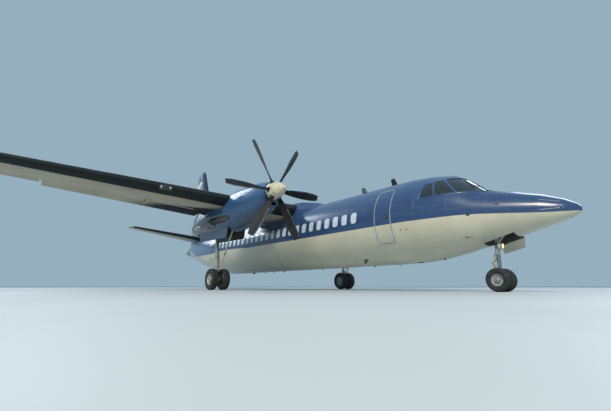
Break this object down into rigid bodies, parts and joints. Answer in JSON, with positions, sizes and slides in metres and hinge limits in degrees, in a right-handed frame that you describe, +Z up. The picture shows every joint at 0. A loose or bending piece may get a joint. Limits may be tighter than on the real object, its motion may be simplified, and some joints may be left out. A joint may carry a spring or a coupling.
{
  "type": "twin-turboprop high-wing transport aircraft",
  "caption": "High-wing transport aircraft with wing nacelles, turning propellers, wheels, steering, airstair and hinged control surfaces, parked on its gear.",
  "frame": {"origin": "on the ground, under the middle of the outline box", "axes": "+X towards the nose, +Y to port, +Z up"},
  "size_m": [25.2496, 29, 8.617],
  "materials": {
    "hull_paint": "aged cream gloss paint, blue from just below the windows up",
    "blue_paint": "dark blue gloss paint",
    "wing_paint": "satin grey-beige paint with black rubber leading edges",
    "cockpit_glass": "dark coated glass",
    "tyre_rubber": "worn black rubber",
    "gear_paint": "grey-white gear paint, oiled steel",
    "exhaust_steel": "heat-stained steel",
    "spinner_paint": "cream gloss paint",
    "blade_black": "matt black composite",
    "engine_metal": "bare casing"
  },
  "bodies": {
    "airframe": {"wing_centre": "wing_paint", "radome": "blue_paint", "fuselage_cockpit": "hull_paint", "cockpit_glazing": "cockpit_glass", "fuselage_forward": "hull_paint", "fuselage_centre": "hull_paint", "wing_root_fairing": "blue_paint", "fuselage_aft": "hull_paint", "tail_cone": "hull_paint", "service_door": "hull_paint", "aft_door_port": "hull_paint", "aft_door_starboard": "hull_paint", "tailplane": "wing_paint", "fin": "blue_paint", "dorsal_fin": "blue_paint", "nose_leg": "gear_paint", "nose_bay_door": "hull_paint", "wing_outer_port": "wing_paint", "wing_outer_starboard": "wing_paint", "engine_cowl_port": "blue_paint", "engine_cowl_starboard": "blue_paint", "engine_port": "engine_metal", "engine_starboard": "engine_metal", "nacelle_port": "blue_paint", "nacelle_starboard": "blue_paint", "exhaust_port": "exhaust_steel", "exhaust_starboard": "exhaust_steel", "main_leg_port": "gear_paint", "main_leg_starboard": "gear_paint", "drag_strut_port": "gear_paint", "drag_strut_starboard": "gear_paint", "bay_door_outer_port": "blue_paint", "bay_door_outer_starboard": "blue_paint", "bay_door_inner_port": "blue_paint", "bay_door_inner_starboard": "blue_paint"},
    "propeller_port": {"propeller_port": "blade_black", "spinner_port": "spinner_paint"},
    "propeller_starboard": {"propeller_starboard": "blade_black", "spinner_starboard": "spinner_paint"},
    "main_wheels_port": {"main_port_wheels": "gear_paint", "main_port_tyre_left": "tyre_rubber", "main_port_tyre_right": "tyre_rubber"},
    "main_wheels_starboard": {"main_starboard_wheels": "gear_paint", "main_starboard_tyre_left": "tyre_rubber", "main_starboard_tyre_right": "tyre_rubber"},
    "nose_steering": {"nose_fork": "gear_paint"},
    "nose_wheels": {"nose_wheels": "gear_paint", "nose_tyre_left": "tyre_rubber", "nose_tyre_right": "tyre_rubber"},
    "airstair": {"airstair": "hull_paint"},
    "flap_inboard_port": {"flap_inboard_port": "wing_paint"},
    "flap_inboard_starboard": {"flap_inboard_starboard": "wing_paint"},
    "flap_outboard_port": {"flap_outboard_port": "wing_paint"},
    "flap_outboard_starboard": {"flap_outboard_starboard": "wing_paint"},
    "aileron_port": {"aileron_port": "wing_paint"},
    "aileron_starboard": {"aileron_starboard": "wing_paint"},
    "elevator_port": {"elevator_port": "wing_paint"},
    "elevator_starboard": {"elevator_starboard": "wing_paint"},
    "rudder": {"rudder": "blue_paint"}
  },
  "joints": [
    {"name": "propeller_port_spin", "type": "hinge", "parent": "airframe", "child": "propeller_port", "pos_m": [5.265, 3.6, 3.292], "axis": [1, 0, 0], "continuous": true},
    {"name": "propeller_starboard_spin", "type": "hinge", "parent": "airframe", "child": "propeller_starboard", "pos_m": [5.265, -3.6, 3.292], "axis": [1, 0, 0], "continuous": true},
    {"name": "main_wheels_port_roll", "type": "hinge", "parent": "airframe", "child": "main_wheels_port", "pos_m": [1.065, 3.6, 0.425], "axis": [0, 1, 0], "continuous": true},
    {"name": "main_wheels_starboard_roll", "type": "hinge", "parent": "airframe", "child": "main_wheels_starboard", "pos_m": [1.065, -3.6, 0.425], "axis": [0, 1, 0], "continuous": true},
    {"name": "nose_steering_turn", "type": "hinge", "parent": "airframe", "child": "nose_steering", "pos_m": [10.645, 0, 1.1], "axis": [0, 0, 1], "range_deg": [-73, 73]},
    {"name": "nose_wheels_roll", "type": "hinge", "parent": "nose_steering", "child": "nose_wheels", "pos_m": [10.645, 0, 0.305], "axis": [0, 1, 0], "continuous": true},
    {"name": "airstair_hinge", "type": "hinge", "parent": "airframe", "child": "airstair", "pos_m": [7.295, 1.15581, 1.51019], "axis": [-1, 0, 0], "range_deg": [0, 145]},
    {"name": "flap_inboard_port_hinge", "type": "hinge", "parent": "airframe", "child": "flap_inboard_port", "pos_m": [0.66821, 1.44, 3.34073], "axis": [-0.0479, -0.9989, -0.0004], "range_deg": [-10, 25]},
    {"name": "flap_inboard_starboard_hinge", "type": "hinge", "parent": "airframe", "child": "flap_inboard_starboard", "pos_m": [0.66821, -1.44, 3.34073], "axis": [0.0479, -0.9989, 0.0004], "range_deg": [-10, 25]},
    {"name": "flap_outboard_port_hinge", "type": "hinge", "parent": "airframe", "child": "flap_outboard_port", "pos_m": [0.80729, 4.34, 3.37421], "axis": [-0.0479, -0.9979, -0.044], "range_deg": [-10, 25]},
    {"name": "flap_outboard_starboard_hinge", "type": "hinge", "parent": "airframe", "child": "flap_outboard_starboard", "pos_m": [0.80729, -4.34, 3.37421], "axis": [0.0479, -0.9979, 0.044], "range_deg": [-10, 25]},
    {"name": "aileron_port_hinge", "type": "hinge", "parent": "airframe", "child": "aileron_port", "pos_m": [0.9925, 9.91, 3.61319], "axis": [-0.0535, -0.9976, -0.0444], "range_deg": [-20, 20]},
    {"name": "aileron_starboard_hinge", "type": "hinge", "parent": "airframe", "child": "aileron_starboard", "pos_m": [0.9925, -9.91, 3.61319], "axis": [0.0535, -0.9976, 0.0444], "range_deg": [-20, 20]},
    {"name": "elevator_port_hinge", "type": "hinge", "parent": "airframe", "child": "elevator_port", "pos_m": [-9.88415, 0.56, 3.33237], "axis": [0.0381, -0.991, -0.1281], "range_deg": [-25, 20]},
    {"name": "elevator_starboard_hinge", "type": "hinge", "parent": "airframe", "child": "elevator_starboard", "pos_m": [-9.88415, -0.56, 3.33237], "axis": [-0.0381, -0.991, 0.1281], "range_deg": [-25, 20]},
    {"name": "rudder_hinge", "type": "hinge", "parent": "airframe", "child": "rudder", "pos_m": [-10.41547, 0, 3.76], "axis": [-0.0708, 0, 0.9975], "range_deg": [-25, 25]}
  ],
  "couplings": [
    {"joint": "flap_inboard_starboard_hinge", "follows": "flap_outboard_port_hinge", "ratio": 1},
    {"joint": "flap_inboard_port_hinge", "follows": "flap_outboard_port_hinge", "ratio": 1},
    {"joint": "flap_outboard_starboard_hinge", "follows": "flap_outboard_port_hinge", "ratio": 1},
    {"joint": "aileron_starboard_hinge", "follows": "aileron_port_hinge", "ratio": -1},
    {"joint": "elevator_starboard_hinge", "follows": "elevator_port_hinge", "ratio": 1}
  ]
}
